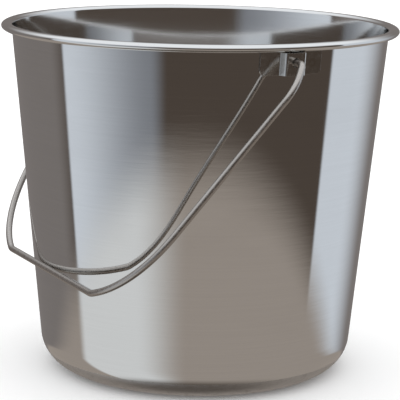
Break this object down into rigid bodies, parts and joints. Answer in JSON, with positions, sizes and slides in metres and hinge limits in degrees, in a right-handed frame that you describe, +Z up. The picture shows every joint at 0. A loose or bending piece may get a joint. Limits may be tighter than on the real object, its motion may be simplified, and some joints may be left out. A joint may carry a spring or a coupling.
{
  "type": "milk pail",
  "caption": "Tapered stainless steel pail with a rolled rim, two welded side ears and a swinging bent-wire bail.",
  "frame": {"origin": "centre of the ring that the pail stands on", "axes": "+Z up along the pail's axis; the bail's pivot line runs along Y with the front ear at -Y; the bail hangs at the -X side at rest"},
  "size_m": [0.29, 0.328, 0.255],
  "materials": {
    "shell_steel": "polished stainless sheet with fine marks round the wall and a satin bottom corner",
    "ear_steel": "bright pressed stainless strip",
    "wire_steel": "bright drawn stainless wire"
  },
  "bodies": {
    "pail": {"pail_shell": "shell_steel", "bail_ear_front": "ear_steel", "bail_ear_rear": "ear_steel"},
    "bail": {"wire_bail": "wire_steel"}
  },
  "joints": [
    {"name": "bail_swing", "type": "hinge", "parent": "pail", "child": "bail", "pos_m": [0, 0, 0.2424], "axis": [0, 1, 0], "range_deg": [0, 284]}
  ]
}
